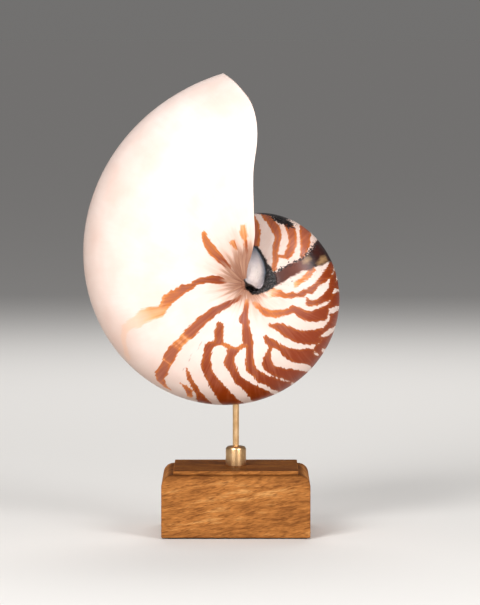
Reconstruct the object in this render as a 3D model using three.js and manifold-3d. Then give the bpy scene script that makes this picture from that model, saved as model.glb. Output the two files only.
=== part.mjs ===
// A nautilus shell on a display stand: the shell is held up by a slim brass rod that rises
// from a turned brass collar on a moulded hardwood block. Under the block a washer and nut in
// a counterbore hold the rod, and a thin felt sheet covers them.
//
// Millimetres, +Z up. The origin is the centre of the felt's underside, where the stand
// meets the shelf. The shell coils about an axis parallel to Y, and its mouth opens to +X.

import * as THREE from "three";
import { mergeVertices } from "three/addons/utils/BufferGeometryUtils.js";
import Module from "manifold-3d";

// ---- Driving dimensions -------------------------------------------------------------------

const FELT = { side: 72, thick: 0.6, corner: 3 };
const BLOCK = {
  side: 75, // square footprint
  height: 33.1, // felt to plateau
  moulding: 6, // radius of the quarter round that runs along all four top edges
  step: 1.7, // height of the plateau above the quarter round
  counterboreRadius: 6,
  counterboreDepth: 8,
};
const ROD = { radius: 1.6, bottom: 3, intoShell: 9 };
const COLLAR = { radius: 5.2, height: 10, topRadius: 3.9, chamferHeight: 1.7 };
const WASHER = { radius: 4.5, thick: 0.6 };
const NUT = { acrossFlats: 5.5, thick: 2.4 };
const BORE_RADIUS = 1.75; // of every hole that the rod passes through

// The shell. "Back" is the angle, in degrees, by which growth lags behind the mouth's keel
// line; the keel's radius shrinks with it as a logarithmic spiral.
const SHELL = {
  poleX: 5.7, // the coil's axis
  poleZ: 127.2,
  mouthAngle: 94, // polar angle of back = 0, from +X towards +Z
  mouthRadius: 107.7,
  growth: 0.182, // per radian: the radius triples in about one turn
  wall: 1.6,
  breadth: 0.365, // greatest half width, as a share of the keel's radius
  crest: 0.4, // where that width lies, as a share of the keel's radius
  innerEdge: 0.03, // where the flank ends beside the axis, as the same share
  umbilicalDrop: 0.165, // how far the flank dips towards the axis, as the same share
  fullness: 2.2, // exponent of the superellipse from crest to keel: 2 is an ellipse
  septumBack: 130, // the last chamber wall, at its rim
  septumDepth: 24, // how much further back its middle lies
  innermost: 540, // back angle where the modelled coil ends, inside the solid middle
};
// The lip from the axis to the keel, as [share of the keel's radius, back angle]: an ear
// beside the axis, a nearly straight flank, and the sinus that turns back at the keel.
const LIP = [
  [0.03, 2],
  [0.09, -6.5],
  [0.17, -12.8],
  [0.33, -9.2],
  [0.5, -7.1],
  [0.68, -7.8],
  [0.8, -6.2],
  [0.9, -2.5],
  [1, 2.5],
];
// The callus that fills the coil's centre: an ellipsoid that stands out of both flanks.
const CALLUS = { offsetX: 1.3, offsetZ: 7, radii: [11, 21.5, 14] };
const SEPTUM_CENTRE = 0.55; // middle of the last chamber wall, as a share of the keel's radius
const SIPHUNCLE = { radius: 1.5, length: 9 };

const RING_STEP = 7.5; // degrees of growth between the rings of the mesh
const LIP_RINGS_END = 52.5; // back angle by which the rings have stopped following the lip
const COIL_JOINS = [195, 330]; // back angles where the three solids of the coil meet
const FLANK_POINTS = 8; // section points from the axis to the crest
const VENTER_POINTS = 8; // section points from the crest to the keel
const SEPTUM_RINGS = 5; // rings of the last chamber wall's bowl
const ROUND = 48; // segments of a full turn on turned pieces

// ---- Solids -------------------------------------------------------------------------------

const wasm = await Module();
wasm.setup();

/** A three.js geometry as a manifold-3d solid. */
function solidOf(geometry) {
  const bare = geometry.index ? geometry.toNonIndexed() : geometry.clone();
  bare.deleteAttribute("normal");
  bare.deleteAttribute("uv");
  const merged = mergeVertices(bare, 1e-4);
  return new wasm.Manifold(
    new wasm.Mesh({
      numProp: 3,
      vertProperties: merged.attributes.position.array,
      triVerts: new Uint32Array(merged.index.array),
    }),
  );
}

/** A manifold-3d solid as a three.js geometry. */
function geometryOf(solid) {
  const mesh = solid.getMesh();
  const positions = new Float32Array(mesh.numVert * 3);
  for (let i = 0; i < mesh.numVert; i++) {
    const start = i * mesh.numProp;
    positions.set(mesh.vertProperties.subarray(start, start + 3), i * 3);
  }
  const geometry = new THREE.BufferGeometry();
  geometry.setAttribute("position", new THREE.BufferAttribute(positions, 3));
  geometry.setIndex(new THREE.BufferAttribute(mesh.triVerts, 1));
  geometry.computeVertexNormals();
  return geometry;
}

/** A solid of revolution about +Z from [radius, z] pairs that run round its section. */
function turned(profile) {
  const points = [...profile, profile[0]].map(([r, z]) => new THREE.Vector2(r, z));
  return new THREE.LatheGeometry(points, ROUND).rotateX(Math.PI / 2);
}

/** An upright cylinder between two heights. */
function upright(radius, low, high, x = 0) {
  return new THREE.CylinderGeometry(radius, radius, high - low, ROUND)
    .rotateX(Math.PI / 2)
    .translate(x, 0, (low + high) / 2);
}

// ---- The stand ----------------------------------------------------------------------------

const blockBottom = FELT.thick;
const blockTop = blockBottom + BLOCK.height;
const counterboreRoof = blockBottom + BLOCK.counterboreDepth;

function feltSheet() {
  const half = FELT.side / 2;
  const inner = half - FELT.corner;
  const outline = new THREE.Shape();
  outline.absarc(inner, inner, FELT.corner, 0, Math.PI / 2);
  outline.absarc(-inner, inner, FELT.corner, Math.PI / 2, Math.PI);
  outline.absarc(-inner, -inner, FELT.corner, Math.PI, 1.5 * Math.PI);
  outline.absarc(inner, -inner, FELT.corner, 1.5 * Math.PI, 2 * Math.PI);
  outline.closePath();
  return new THREE.ExtrudeGeometry(outline, {
    depth: FELT.thick,
    bevelEnabled: false,
    curveSegments: 6,
  });
}

/** The block's moulded section, extruded across the block along one axis. */
function mouldedBar() {
  const half = BLOCK.side / 2;
  const plateau = half - BLOCK.moulding;
  const shoulder = BLOCK.height - BLOCK.step;
  const springing = shoulder - BLOCK.moulding;
  const section = new THREE.Shape();
  section.moveTo(-half, 0);
  section.lineTo(half, 0);
  section.lineTo(half, springing);
  section.absarc(plateau, springing, BLOCK.moulding, 0, Math.PI / 2);
  section.lineTo(plateau, BLOCK.height);
  section.lineTo(-plateau, BLOCK.height);
  section.lineTo(-plateau, shoulder);
  section.absarc(-plateau, springing, BLOCK.moulding, Math.PI / 2, Math.PI);
  section.closePath();
  return new THREE.ExtrudeGeometry(section, {
    depth: BLOCK.side,
    bevelEnabled: false,
    curveSegments: 10,
  })
    .translate(0, 0, -half)
    .rotateX(Math.PI / 2)
    .translate(0, 0, blockBottom);
}

/** The moulding runs round all four sides with mitred corners: two crossing bars share it. */
function woodenBlock() {
  const along = mouldedBar();
  const across = mouldedBar().rotateZ(Math.PI / 2);
  const bore = upright(BORE_RADIUS, blockBottom, blockTop + 1);
  const counterbore = upright(
    BLOCK.counterboreRadius,
    blockBottom - 1,
    counterboreRoof,
  );
  return geometryOf(
    solidOf(along)
      .intersect(solidOf(across))
      .subtract(solidOf(bore))
      .subtract(solidOf(counterbore)),
  );
}

function collar() {
  const top = blockTop + COLLAR.height;
  return turned([
    [BORE_RADIUS, blockTop],
    [COLLAR.radius, blockTop],
    [COLLAR.radius, top - COLLAR.chamferHeight],
    [COLLAR.topRadius, top],
    [BORE_RADIUS, top],
  ]);
}

function washer() {
  const low = counterboreRoof - WASHER.thick;
  return turned([
    [BORE_RADIUS, low],
    [WASHER.radius, low],
    [WASHER.radius, counterboreRoof],
    [BORE_RADIUS, counterboreRoof],
  ]);
}

function hexNut() {
  const outline = new THREE.Shape();
  const corner = NUT.acrossFlats / Math.sqrt(3);
  for (let i = 0; i < 6; i++) {
    const angle = (i * Math.PI) / 3;
    outline[i ? "lineTo" : "moveTo"](
      corner * Math.cos(angle),
      corner * Math.sin(angle),
    );
  }
  outline.closePath();
  outline.holes.push(
    new THREE.Path().absarc(0, 0, BORE_RADIUS, 0, 2 * Math.PI, true),
  );
  return new THREE.ExtrudeGeometry(outline, {
    depth: NUT.thick,
    bevelEnabled: false,
    curveSegments: ROUND / 2,
  }).translate(0, 0, counterboreRoof - WASHER.thick - NUT.thick);
}

// ---- The shell ----------------------------------------------------------------------------

const radians = THREE.MathUtils.degToRad;

function keelRadius(back) {
  return SHELL.mouthRadius * Math.exp(-SHELL.growth * radians(back));
}

/** Half width of the whorl at a share of the keel's radius, as a share of the same. */
function halfWidth(share) {
  const { breadth, crest, innerEdge, umbilicalDrop, fullness } = SHELL;
  if (share < crest) {
    const inward = (crest - share) / (crest - innerEdge);
    return breadth - umbilicalDrop * inward ** 2;
  }
  const outward = Math.min(1, (share - crest) / (1 - crest));
  return breadth * (1 - outward ** fullness) ** (1 / fullness);
}

/** Shares of the keel's radius at which one flank is sampled, from the axis to the keel. */
function flankShares() {
  const { crest, innerEdge, fullness } = SHELL;
  const shares = [];
  for (let i = 0; i < FLANK_POINTS; i++) {
    shares.push(innerEdge + ((crest - innerEdge) * i) / FLANK_POINTS);
  }
  for (let i = 0; i < VENTER_POINTS; i++) {
    const angle = (i / VENTER_POINTS) * (Math.PI / 2);
    shares.push(crest + (1 - crest) * Math.sin(angle) ** (2 / fullness));
  }
  shares.push(1);
  return shares;
}

/** The whorl's section as [share of keel radius, signed half width share], -Y flank first. */
function sectionLoop() {
  const near = flankShares().map((share) => [share, -halfWidth(share)]);
  const far = near
    .slice(0, -1)
    .reverse()
    .map(([share, width]) => [share, -width]);
  return [...near, ...far];
}

const lipCurve = new THREE.CubicInterpolant(
  LIP.map(([share]) => share),
  LIP.map(([, back]) => back),
  1,
);
/** Back angle of the lip at a share of the keel's radius. */
const lipBack = (share) => lipCurve.evaluate(share)[0];

/** A point of the shell: back angle, radius from the coil's axis, and Y. */
function place(back, radius, y) {
  const polar = radians(SHELL.mouthAngle + back);
  return [
    SHELL.poleX + radius * Math.cos(polar),
    y,
    SHELL.poleZ + radius * Math.sin(polar),
  ];
}

/** One point of the whorl, set in from its surface by an inset. */
function whorlPoint(back, [share, width], inset) {
  const keel = keelRadius(back);
  const towardsKeel = Math.max(0, (share - SHELL.crest) / (1 - SHELL.crest));
  const fromAxis = share === SHELL.innerEdge ? inset : 0;
  const radius = share * keel - inset * towardsKeel + fromAxis;
  const y = Math.abs(width) * keel - inset * (1 - towardsKeel ** 4);
  return place(back, radius, Math.sign(width) * Math.max(0, y));
}

/** A closed solid through rings of points, with its two ends closed by fans. */
function loft(rings) {
  const around = rings[0].length;
  const positions = rings.flat(2);
  const faces = [];
  for (let i = 0; i + 1 < rings.length; i++) {
    for (let j = 0; j < around; j++) {
      const [a, b] = [i * around + j, i * around + ((j + 1) % around)];
      const [c, d] = [a + around, b + around];
      faces.push(a, b, c, b, d, c);
    }
  }
  const closeEnd = (ring, start, flip) => {
    const middle = ring
      .reduce((sum, point) => sum.map((v, k) => v + point[k]), [0, 0, 0])
      .map((v) => v / around);
    const centre = positions.length / 3;
    positions.push(...middle);
    for (let j = 0; j < around; j++) {
      const [a, b] = [start + j, start + ((j + 1) % around)];
      faces.push(...(flip ? [b, a, centre] : [a, b, centre]));
    }
  };
  closeEnd(rings[0], 0, true);
  closeEnd(rings.at(-1), (rings.length - 1) * around, false);
  const geometry = new THREE.BufferGeometry();
  geometry.setAttribute(
    "position",
    new THREE.Float32BufferAttribute(positions, 3),
  );
  geometry.setIndex(faces);
  return solidOf(geometry);
}

/** The whorl between two back angles. With a lip, its first rings follow the mouth's edge. */
function whorl(from, to, { inset = 0, lip = null } = {}) {
  const section = sectionLoop();
  const rings = [];
  if (lip !== null) {
    const steps = Math.round(from / RING_STEP);
    for (let i = 0; i < steps; i++) {
      rings.push(
        section.map((point) => {
          const edge = lipBack(point[0]) + lip;
          return whorlPoint(edge + ((from - edge) * i) / steps, point, inset);
        }),
      );
    }
  }
  for (let back = from; back <= to + 1e-9; back += RING_STEP) {
    rings.push(section.map((point) => whorlPoint(back, point, inset)));
  }
  return rings;
}

/** Middle of the last chamber wall at a back angle. */
const septumMiddle = (back) =>
  place(back, SEPTUM_CENTRE * keelRadius(SHELL.septumBack), 0);

/** Rings that shrink to a point further back: the bowl of the last chamber wall. */
function septumBowl(lastRing) {
  const middle = new THREE.Vector3(...septumMiddle(SHELL.septumBack));
  const pole = new THREE.Vector3(SHELL.poleX, 0, SHELL.poleZ);
  const coilAxis = new THREE.Vector3(0, -1, 0);
  const bowl = [];
  for (let i = 1; i <= SEPTUM_RINGS; i++) {
    const angle = (i / (SEPTUM_RINGS + 0.5)) * (Math.PI / 2);
    const deepen = radians(SHELL.septumDepth) * Math.sin(angle);
    const shrunk = (point) =>
      new THREE.Vector3(...point)
        .lerp(middle, 1 - Math.cos(angle))
        .sub(pole)
        .applyAxisAngle(coilAxis, deepen)
        .add(pole)
        .toArray();
    bowl.push(lastRing.map(shrunk));
  }
  return bowl;
}

/** The living chamber, from in front of the lip back to the last chamber wall. */
function livingChamber() {
  const lead = -6; // degrees that the cutting solid reaches out of the mouth
  const rings = whorl(LIP_RINGS_END, SHELL.septumBack, {
    inset: SHELL.wall,
    lip: lead,
  });
  return loft([...rings, ...septumBowl(rings.at(-1))]);
}

function callus() {
  const [x, y, z] = CALLUS.radii;
  return solidOf(
    new THREE.SphereGeometry(1, 32, 20)
      .scale(x, y, z)
      .translate(SHELL.poleX + CALLUS.offsetX, 0, SHELL.poleZ + CALLUS.offsetZ),
  );
}

/** The tube's opening in the middle of the last chamber wall, a short blind hole. */
function siphuncleHole() {
  const back = SHELL.septumBack + SHELL.septumDepth;
  const [x, , z] = septumMiddle(back);
  return solidOf(
    new THREE.CylinderGeometry(
      SIPHUNCLE.radius,
      SIPHUNCLE.radius,
      SIPHUNCLE.length,
      16,
    )
      .rotateZ(radians(SHELL.mouthAngle + back))
      .translate(x, 0, z),
  );
}

/** Height at which the keel crosses the stand's axis, on the shell's underside. */
function undersideAtAxis() {
  const keelAt = (back) => place(back, keelRadius(back), 0);
  let back = SHELL.septumBack;
  while (keelAt(back)[0] < 0) back += 0.05;
  return keelAt(back)[2];
}
const shellUnderside = undersideAtAxis();
const rodTop = shellUnderside + ROD.intoShell;

function nautilusShell() {
  const [outerJoin, innerJoin] = COIL_JOINS;
  const lipPart = loft(whorl(LIP_RINGS_END, outerJoin, { lip: 0 }));
  const olderPart = loft(whorl(outerJoin, innerJoin));
  const innerWhorl = loft(whorl(innerJoin, SHELL.innermost));
  const middle = callus();
  const hollow = livingChamber().subtract(innerWhorl).subtract(middle);
  const mountingHole = solidOf(
    upright(BORE_RADIUS + 0.1, shellUnderside - 10, rodTop + 0.5),
  );
  const body = lipPart
    .add(olderPart)
    .add(innerWhorl)
    .add(middle)
    .subtract(hollow)
    .subtract(siphuncleHole())
    .subtract(mountingHole);
  return geometryOf(body);
}

// ---- Materials and assembly ---------------------------------------------------------------

const material = (color, roughness, metalness) =>
  new THREE.MeshStandardMaterial({ color, roughness, metalness });
const felt = material(0x1c1a19, 0.95, 0);
const hardwood = material(0xa9683c, 0.55, 0);
const brass = material(0xd2a45f, 0.28, 1);
const zincSteel = material(0xb9bcc0, 0.35, 1);
const shellSurface = material(0xf4e7dc, 0.3, 0);

const stand = new THREE.Group();
function addPiece(name, geometry, finish) {
  const mesh = new THREE.Mesh(geometry, finish);
  mesh.name = name;
  stand.add(mesh);
}

addPiece("felt_sheet", feltSheet(), felt);
addPiece("wooden_block", woodenBlock(), hardwood);
addPiece("rod_washer", washer(), zincSteel);
addPiece("rod_nut", hexNut(), zincSteel);
addPiece("brass_collar", collar(), brass);
addPiece("brass_rod", upright(ROD.radius, ROD.bottom, rodTop), brass);
addPiece("nautilus_shell", nautilusShell(), shellSurface);

export default stand;
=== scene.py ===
"""A grown nautilus shell on its display stand.

The shell is a whorl swept along a logarithmic spiral: one Geometry Nodes tree sweeps the
outer wall, the hollow of the living chamber and the older turn inside it, and solid booleans
join them. Its markings are laid out by growth angle and by place on the flank. The stand is an
oiled hardwood block, a turned brass collar, a brass rod, and the nut, washer and felt below.
"""

import math

import bmesh
import bpy
import numpy as np
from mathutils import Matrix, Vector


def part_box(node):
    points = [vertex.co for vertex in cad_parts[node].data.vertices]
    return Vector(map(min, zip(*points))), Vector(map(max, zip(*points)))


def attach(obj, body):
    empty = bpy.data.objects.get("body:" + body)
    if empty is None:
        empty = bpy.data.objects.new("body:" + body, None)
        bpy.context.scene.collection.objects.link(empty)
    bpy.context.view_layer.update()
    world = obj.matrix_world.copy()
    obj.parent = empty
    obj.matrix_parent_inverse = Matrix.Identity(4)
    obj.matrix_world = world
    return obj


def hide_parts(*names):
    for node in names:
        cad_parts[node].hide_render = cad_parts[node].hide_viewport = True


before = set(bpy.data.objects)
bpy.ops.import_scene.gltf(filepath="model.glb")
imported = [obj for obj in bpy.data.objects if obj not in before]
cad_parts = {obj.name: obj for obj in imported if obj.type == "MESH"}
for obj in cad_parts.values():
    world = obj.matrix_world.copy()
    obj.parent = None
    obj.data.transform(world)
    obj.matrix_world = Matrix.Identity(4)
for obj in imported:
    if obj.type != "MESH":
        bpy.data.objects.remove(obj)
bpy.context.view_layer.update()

MM = 0.001


# ---- Small helpers -------------------------------------------------------------------------


def linear(colour, alpha=1.0):
    """An sRGB hex colour such as "c8803a" as linear RGBA."""
    channels = [int(colour[i : i + 2], 16) / 255 for i in (0, 2, 4)]
    return [c / 12.92 if c <= 0.04045 else ((c + 0.055) / 1.055) ** 2.4 for c in channels] + [alpha]


# The kinds of node that are used most.
MATH, VECTOR, SPLIT = "ShaderNodeMath", "ShaderNodeVectorMath", "ShaderNodeSeparateXYZ"
MIX, RANGE, RAMP = "ShaderNodeMix", "ShaderNodeMapRange", "ShaderNodeValToRGB"
NOISE, BUMP = "ShaderNodeTexNoise", "ShaderNodeBump"


def fill(tree, node, inputs):
    """Sets or links a node's inputs."""
    for key, value in inputs.items():
        if isinstance(value, bpy.types.NodeSocket):
            tree.links.new(value, node.inputs[key])
        else:
            node.inputs[key].default_value = value


def add(tree, kind, inputs=None, out=0, stops=None, curve=None, **settings):
    """Adds a node with its settings, and gives the output asked for, or all of them for None.

    Each input takes a value or a link, a colour ramp takes stops as (position, hex colour), and
    a float curve takes its points as (x, y).
    """
    node = tree.nodes.new(kind)
    for name, value in settings.items():
        setattr(node, name, value)
    fill(tree, node, inputs or {})
    if stops:
        elements = node.color_ramp.elements
        while len(elements) < len(stops):
            elements.new(0.5)
        for element, (position, colour) in zip(elements, stops):
            element.position = position
            element.color = linear(colour)
    if curve:
        points = node.mapping.curves[0].points
        while len(points) < len(curve):
            points.new(0.5, 0.5)
        for point, place in zip(points, curve):
            point.location = place
        node.mapping.update()
    return node.outputs if out is None else node.outputs[out]


def new_material(name):
    material = bpy.data.materials.new(name)
    material.use_nodes = True
    tree = material.node_tree
    return material, tree, tree.nodes["Principled BSDF"]


def new_object(name, vertices, faces, material=None):
    mesh = bpy.data.meshes.new(name)
    mesh.from_pydata([tuple(v) for v in vertices], [], [tuple(f) for f in faces])
    mesh.update()
    piece = bpy.data.objects.new(name, mesh)
    bpy.context.scene.collection.objects.link(piece)
    if material:
        mesh.materials.append(material)
    return piece


def make_plain(piece):
    """Turns what the piece's modifiers make into its own plain mesh."""
    depsgraph = bpy.context.evaluated_depsgraph_get()
    evaluated = piece.evaluated_get(depsgraph)
    mesh = bpy.data.meshes.new_from_object(evaluated, depsgraph=depsgraph)
    piece.modifiers.clear()
    piece.data = mesh
    mesh.name = piece.name


def boolean(piece, operation, other):
    """Joins or cuts a piece with another solid, which is used up."""
    modifier = piece.modifiers.new("join", "BOOLEAN")
    modifier.operation = operation
    modifier.solver = "MANIFOLD"
    modifier.material_mode = "TRANSFER"
    modifier.object = other
    make_plain(piece)
    bpy.data.objects.remove(other)


def smooth(piece, sharp_angle=40):
    mesh = piece.data
    mesh.shade_smooth()
    mesh.set_sharp_from_angle(angle=math.radians(sharp_angle))
    return piece


def turned(name, profile, material, rounds=96):
    """A solid of revolution about the stand's axis, from (radius, z) pairs round its section."""
    angles = np.linspace(0, 2 * math.pi, rounds, endpoint=False)
    vertices = [(r * math.cos(a), r * math.sin(a), z) for a in angles for r, z in profile]
    count = len(profile)
    faces = []
    for i in range(rounds):
        for j in range(count):
            a, b = i * count + j, i * count + (j + 1) % count
            c = (i + 1) % rounds * count
            faces.append((a, c + j, c + (j + 1) % count, b))
    return new_object(name, vertices, faces, material)


def arc(centre, radius, start, end, steps):
    """Points on an arc, as (r, z), between two angles in degrees."""
    turn = np.radians(np.linspace(start, end, steps))
    return [(centre[0] + radius * math.cos(t), centre[1] + radius * math.sin(t)) for t in turn]


def finish_piece(piece, slot, *nodes):
    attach(piece, "root")
    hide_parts(*nodes)


# ---- Camera, floor and light ---------------------------------------------------------------


def make_camera():
    """A long lens, a little above the middle of the object and tilted down on it."""
    data = bpy.data.cameras.new("camera")
    data.lens = 269.4
    data.clip_end = 400  # past the floor's far edge
    camera = bpy.data.objects.new("camera", data)
    camera.location = (0.0021, -2.3, 0.2539)
    down = 3.41  # degrees
    camera.rotation_euler = (math.radians(90 - down), 0, 0)
    bpy.context.scene.collection.objects.link(camera)
    bpy.context.scene.camera = camera


def make_floor():
    material, tree, surface = new_material("floor_matt_paint")
    paint = {"Base Color": linear("e4e1dd"), "Roughness": 1, "Specular IOR Level": 0}
    fill(tree, surface, paint)
    reach = 150  # far enough to end at the horizon
    corners = [(x * reach, y * reach, 0) for x, y in ((-1, -1), (1, -1), (1, 1), (-1, 1))]
    new_object("floor", corners, [(0, 1, 2, 3)], material)


def make_lights():
    """Two tall soft boxes in front, one behind, and a pale room. The camera doesn't see the
    boxes themselves, and nothing glossy mirrors the one behind."""
    middle = np.array([0, 0, 0.15])  # what they are turned to
    distance = 1.5
    # name, degrees to the right of the camera, degrees up, width, height, watts
    boxes = [
        ("key_box", -27, 26, 0.5, 0.8, 19),
        ("fill_box", 36, 20, 0.5, 0.8, 12),
        ("back_box", 178, 40, 0.9, 0.9, 11),
    ]
    for name, side, up, width, height, power in boxes:
        data = bpy.data.lights.new(name, "AREA")
        data.shape = "RECTANGLE"
        data.size = width
        data.size_y = height
        data.energy = power
        lamp = bpy.data.objects.new(name, data)
        turn, lift = math.radians(side), math.radians(up)
        across, back = math.sin(turn) * math.cos(lift), -math.cos(turn) * math.cos(lift)
        lamp.location = middle + distance * np.array([across, back, math.sin(lift)])
        lamp.rotation_euler = (math.radians(90) - lift, 0, turn)
        lamp.visible_camera = False
        lamp.visible_glossy = name != "back_box"
        bpy.context.scene.collection.objects.link(lamp)
    world = bpy.data.worlds.new("room")
    world.use_nodes = True
    tree = world.node_tree
    direction = add(tree, "ShaderNodeTexCoord", out="Generated")
    height = add(tree, SPLIT, {0: direction}, out="Z")
    room = add(tree, RAMP, {"Fac": height}, stops=[(0.0, "c5c3c1"), (0.6, "e0e0e2")])
    fill(tree, tree.nodes["Background"], {"Color": room, "Strength": 0.3})
    bpy.context.scene.world = world
    bpy.context.scene.view_settings.view_transform = "Standard"


make_camera()
make_floor()
make_lights()


# ---- The shell's form ----------------------------------------------------------------------

# Everything on the shell is placed by its back angle, which is how many degrees of growth it
# lies behind the mouth, and by its share of the keel's radius there.
POLE = (5.7 * MM, 0, 127.2 * MM)  # the coil's axis
MOUTH_ANGLE = 94  # polar angle of back angle 0, from +X towards +Z
MOUTH_RADIUS = 107.7 * MM  # radius of the keel at back angle 0
GROWTH = 0.182  # per radian
WALL = 0.014  # as a share of the keel's radius
CREST = 0.4  # share of the radius where the whorl is widest
BREADTH = 0.365  # half width there
INNER_EDGE = 0.03  # share of the radius where the flank ends beside the axis
UMBILICAL_DROP = 0.165  # how far the flank dips towards the axis
FULLNESS = 2.2  # exponent of the superellipse from crest to keel
SEPTUM_BACK = 130.0  # the last chamber wall, at its rim
SEPTUM_DEPTH = 24.0  # how much further back its middle lies
# The lip, as (share of the radius, back angle): an ear beside the axis, a nearly straight
# flank, and a sinus that turns back at the keel.
LIP = [
    (0.03, 2), (0.09, -6.5), (0.17, -12.8), (0.33, -9.2), (0.5, -7.1), (0.68, -7.8),
    (0.8, -6.2), (0.9, -2.5), (1, 2.5),
]
LIP_SPAN = 40  # degrees that the lip's curve is scaled by, to fit a Float Curve
# The callus, an ellipsoid through the coil's middle, and the pit in each of its ends.
CALLUS_CENTRE = (POLE[0] + 1.3 * MM, 0, POLE[2] + 7 * MM)
CALLUS_RADII = (11 * MM, 21.5 * MM, 14 * MM)
PIT_OFFSET = (1.2 * MM, 16.3 * MM, -2.2 * MM)
PIT_RADII = (2.3 * MM, 3.5 * MM, 1.3 * MM)


def half_width(share):
    """Half width of the whorl at a share of the keel's radius, as a share of the same."""
    share = np.asarray(share, float)
    inward = np.clip((CREST - share) / (CREST - INNER_EDGE), 0, None)
    outward = np.clip((share - CREST) / (1 - CREST), 0, 1)
    flank = BREADTH - UMBILICAL_DROP * inward**2
    venter = BREADTH * (1 - outward**FULLNESS) ** (1 / FULLNESS)
    return np.where(share < CREST, flank, venter)


def half_section(inset, flank_points, venter_points):
    """One flank's (share, half width) from beside the axis to the keel, set in by an inset."""
    flank = np.linspace(INNER_EDGE, CREST, flank_points, endpoint=False)
    turn = np.linspace(0, math.pi / 2, venter_points)
    venter = CREST + (1 - CREST) * np.sin(turn) ** (2 / FULLNESS)
    shares = np.concatenate([flank, venter])
    widths = half_width(shares)
    outward = np.clip((shares - CREST) / (1 - CREST), 0, 1)
    widths = np.clip(widths - inset * (1 - outward**4), 0, None)
    shares = shares - inset * outward
    shares[0] += inset
    widths[-1] = 0
    return np.stack([shares, widths], 1)


def section_object(name, inset, flank_points, venter_points):
    """The closed section as a string of points in unit size: X is the share, Y the width."""
    near = half_section(inset, flank_points, venter_points)
    points = [(near[0, 0], 0, 0)]
    points += [(share, -width, 0) for share, width in near]
    points += [(share, width, 0) for share, width in near[-2::-1]]
    points.append((near[0, 0], 0, 0))
    return new_object(name, points, [])


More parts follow.
